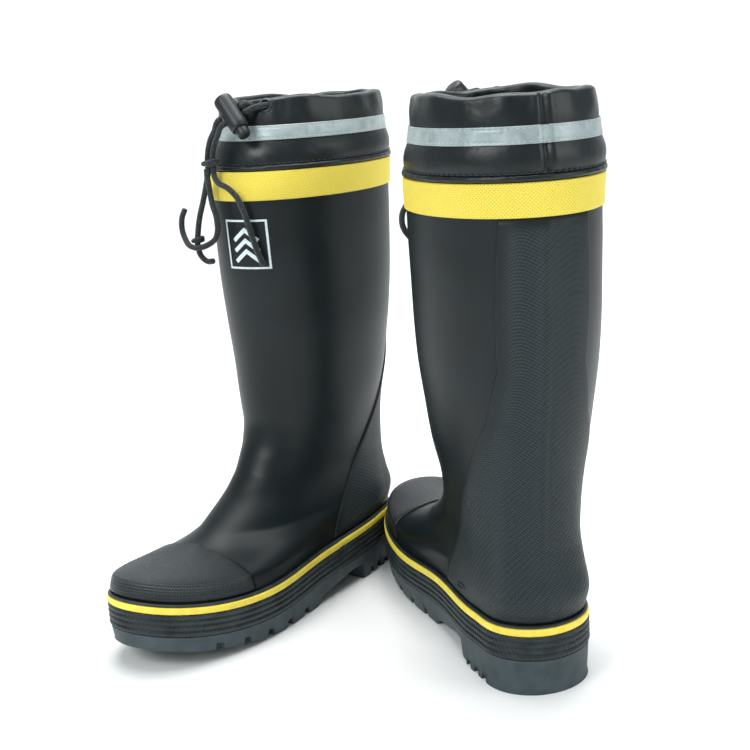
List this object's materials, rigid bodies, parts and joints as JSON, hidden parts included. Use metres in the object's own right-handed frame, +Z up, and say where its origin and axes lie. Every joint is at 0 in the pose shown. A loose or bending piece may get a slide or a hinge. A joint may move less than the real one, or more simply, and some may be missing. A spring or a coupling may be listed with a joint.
{
  "type": "fire boots",
  "caption": "Knee-high rubber fire boots with a ribbed foxing, cleated sole, toe bumper, yellow bands and a soft drawstring collar with a sprung cord lock.",
  "frame": {"origin": "middle of the pair's bounding box on the ground, the free cords left out", "axes": "+Z up; the left boot points its toe towards -X and -Y, the right boot towards +Y, as the pair stands side by side and turned"},
  "size_m": [0.3618, 0.3534, 0.4002],
  "materials": {
    "upper_rubber": "satin, slightly blue black, moulded",
    "sole_rubber": "matt dark grey, moulded",
    "yellow_rubber": "matt yellow with a fine moulded grain",
    "print_ink": "thin printed film",
    "textile": "napped knit",
    "foam": "cellular",
    "steel": "bright sheet, wire and pressed rims",
    "pu_collar": "smooth coated cloth with a low sheen",
    "reflective": "silver grey retroreflective tape",
    "cord_braid": "braided black cord",
    "lock_plastic": "fine grained moulding"
  },
  "bodies": {
    "boots": {"left_outsole": "sole_rubber", "left_foxing_strip": "sole_rubber", "left_foxing_line": "yellow_rubber", "left_foxing_bead": "upper_rubber", "left_upper": "upper_rubber", "left_toe_bumper": "upper_rubber", "left_heel_panel": "upper_rubber", "left_top_band": "yellow_rubber", "left_printed_mark": "print_ink", "left_lining": "textile", "left_toe_cap": "steel", "left_heel_counter": "foam", "left_midsole": "foam", "left_midsole_plate": "steel", "left_footbed": "textile", "left_collar": "pu_collar", "left_collar_welt": "pu_collar", "left_collar_seam_tape": "pu_collar", "left_reflective_tape": "reflective", "left_eyelet_inner": "steel", "left_eyelet_outer": "steel", "left_drawstring": "cord_braid", "left_lock_barrel": "lock_plastic", "left_lock_spring": "steel", "left_cord_strand_a": "cord_braid", "left_cord_strand_b": "cord_braid", "left_cord_tie": "cord_braid", "left_upper_knot": "cord_braid", "left_lower_knot": "cord_braid", "right_outsole": "sole_rubber", "right_foxing_strip": "sole_rubber", "right_foxing_line": "yellow_rubber", "right_foxing_bead": "upper_rubber", "right_upper": "upper_rubber", "right_toe_bumper": "upper_rubber", "right_heel_panel": "upper_rubber", "right_top_band": "yellow_rubber", "right_printed_mark": "print_ink", "right_lining": "textile", "right_toe_cap": "steel", "right_heel_counter": "foam", "right_midsole": "foam", "right_midsole_plate": "steel", "right_footbed": "textile", "right_collar": "pu_collar", "right_collar_welt": "pu_collar", "right_collar_seam_tape": "pu_collar", "right_reflective_tape": "reflective", "right_eyelet_inner": "steel", "right_eyelet_outer": "steel", "right_drawstring": "cord_braid", "right_lock_barrel": "lock_plastic", "right_lock_spring": "steel", "right_cord_strand_a": "cord_braid", "right_cord_strand_b": "cord_braid", "right_cord_tie": "cord_braid", "right_upper_knot": "cord_braid", "right_lower_knot": "cord_braid"},
    "left_plunger": {"left_lock_plunger": "lock_plastic"},
    "right_plunger": {"right_lock_plunger": "lock_plastic"}
  },
  "joints": [
    {"name": "left_lock_press", "type": "slide", "parent": "boots", "child": "left_plunger", "axis": [-0.4566, 0.4736, 0.7532], "range_m": [0, 0.004], "stiffness_N_per_m": 300, "springref_m": -0.003, "deforming": ["left_lock_spring"]},
    {"name": "right_lock_press", "type": "slide", "parent": "boots", "child": "right_plunger", "axis": [-0.6097, -0.2469, 0.7532], "range_m": [0, 0.004], "stiffness_N_per_m": 300, "springref_m": -0.003, "deforming": ["right_lock_spring"]}
  ]
}
